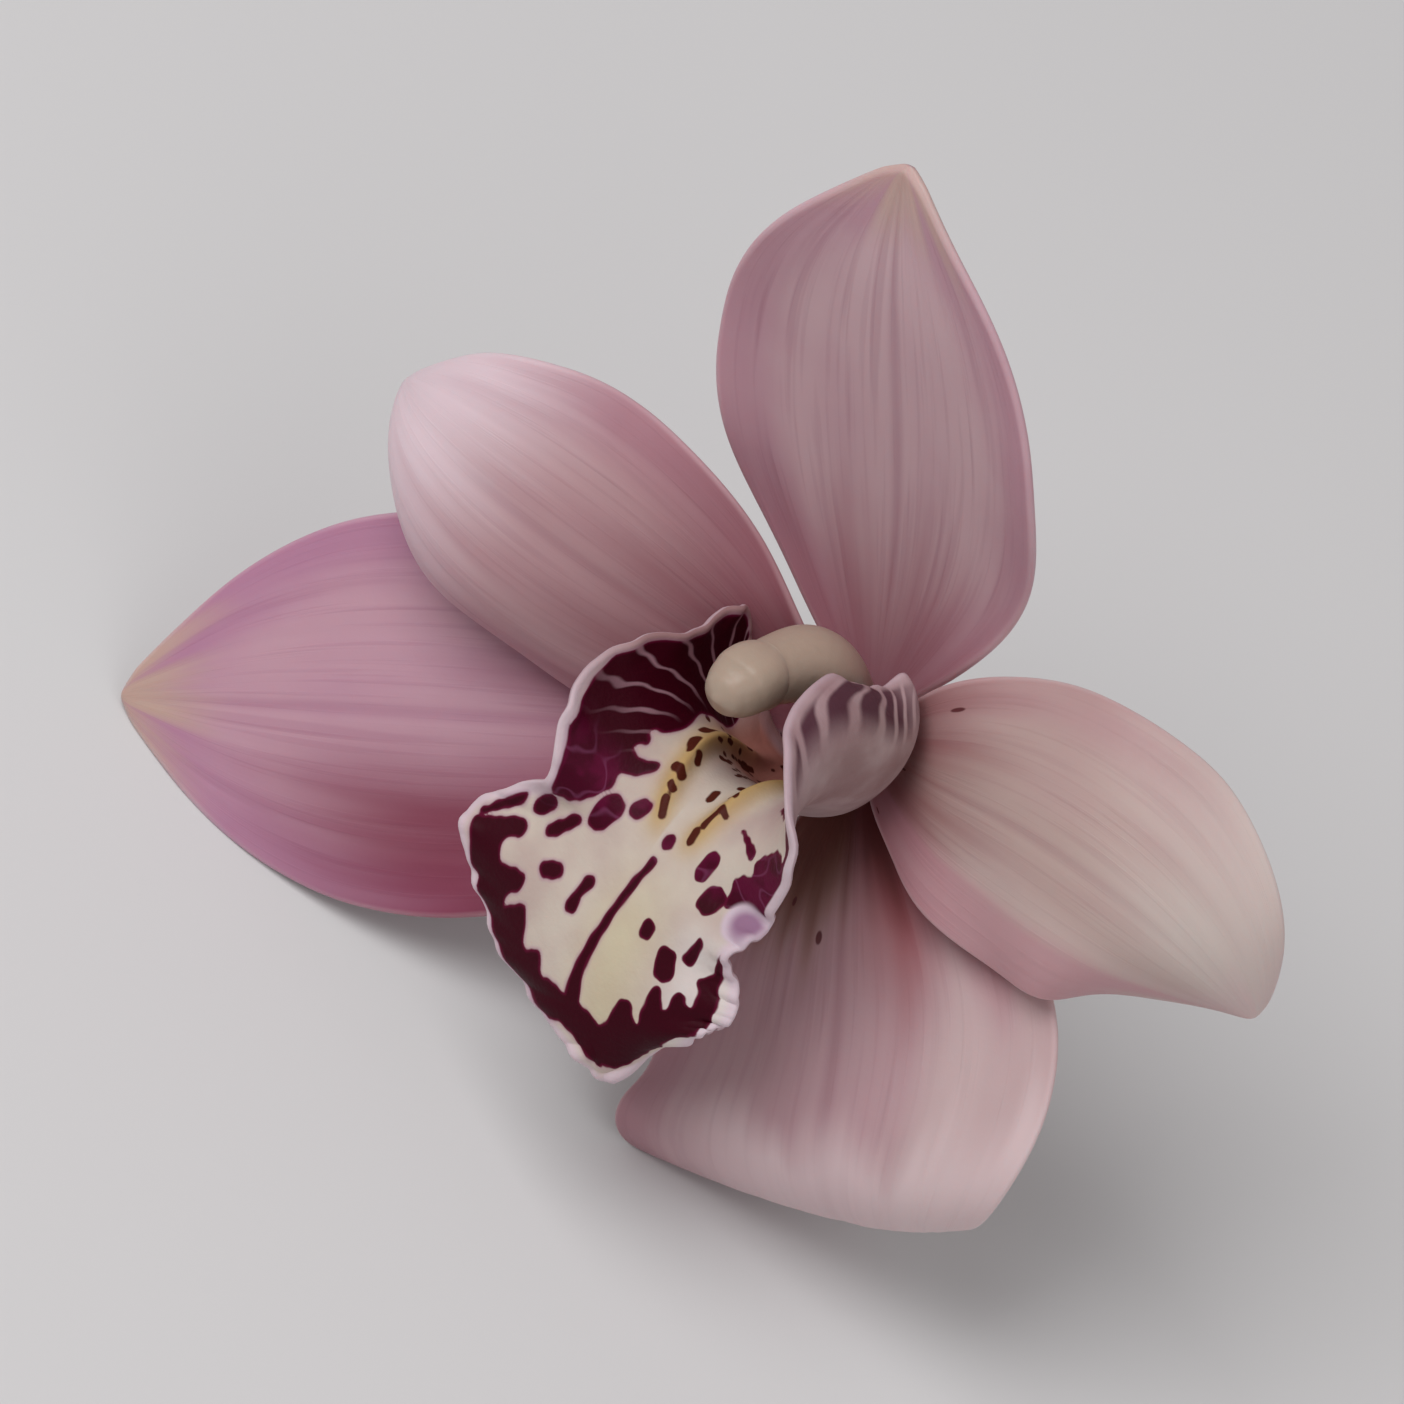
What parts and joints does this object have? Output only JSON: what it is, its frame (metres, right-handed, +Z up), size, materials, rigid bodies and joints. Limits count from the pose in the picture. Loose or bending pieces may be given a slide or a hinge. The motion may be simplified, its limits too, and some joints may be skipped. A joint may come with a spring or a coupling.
{
  "type": "cymbidium orchid bloom",
  "caption": "Picked cymbidium orchid bloom: broad sepals and petals round a lobed, spotted lip and an arched column with its anther cap, on its own stalk.",
  "frame": {"origin": "on the surface that the bloom lies on, below the middle of its outline", "axes": "+Z up, the face looks along -Y and about 30 degrees up, +X to the right as one looks into the face"},
  "size_m": [0.09, 0.063, 0.091],
  "materials": {
    "sepal": "waxy, softly veined, mauve pink",
    "petal": "waxy, softly veined, pale pink",
    "lip": "waxy cream with wine-red markings",
    "column": "smooth, waxy, cream white",
    "anther_cap": "smooth, waxy, ivory",
    "stalk": "smooth, olive green"
  },
  "bodies": {
    "root": {"dorsal_sepal": "sepal", "lateral_sepal_left": "sepal", "lateral_sepal_right": "sepal", "petal_left": "petal", "petal_right": "petal", "lip": "lip", "column": "column", "anther_cap": "anther_cap", "pedicel_ovary": "stalk"}
  },
  "joints": []
}
